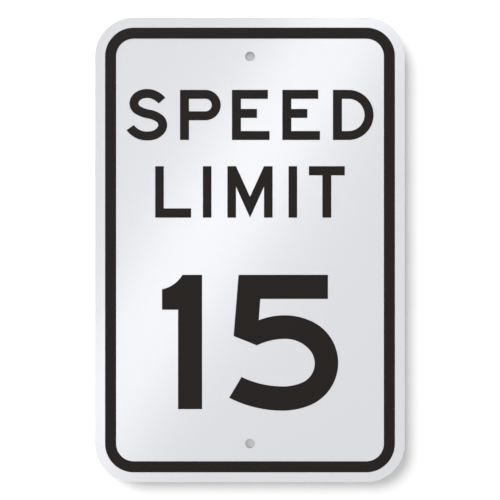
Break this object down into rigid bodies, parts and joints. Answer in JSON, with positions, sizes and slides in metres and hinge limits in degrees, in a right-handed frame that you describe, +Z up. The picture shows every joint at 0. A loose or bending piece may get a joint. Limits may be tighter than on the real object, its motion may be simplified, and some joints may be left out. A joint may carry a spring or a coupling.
{
  "type": "speed limit sign",
  "caption": "Upright rectangular speed limit sign: flat aluminium blank with round corners and centre-line bolt holes, white reflective face, black border and legend.",
  "frame": {"origin": "on the flat back, on the sign's centre line, midway between the two bolt holes", "axes": "+Z up the sign, -Y out of the face towards the reader, +X to the reader's right"},
  "size_m": [0.3048, 0.0019, 0.4572],
  "materials": {
    "sheet_aluminium": "mill finish, rolled",
    "white_reflective_film": "glossy enclosed-bead film",
    "black_film": "semi-gloss"
  },
  "bodies": {
    "root": {"aluminium_blank": "sheet_aluminium", "reflective_sheeting": "white_reflective_film", "black_border": "black_film"}
  },
  "joints": []
}
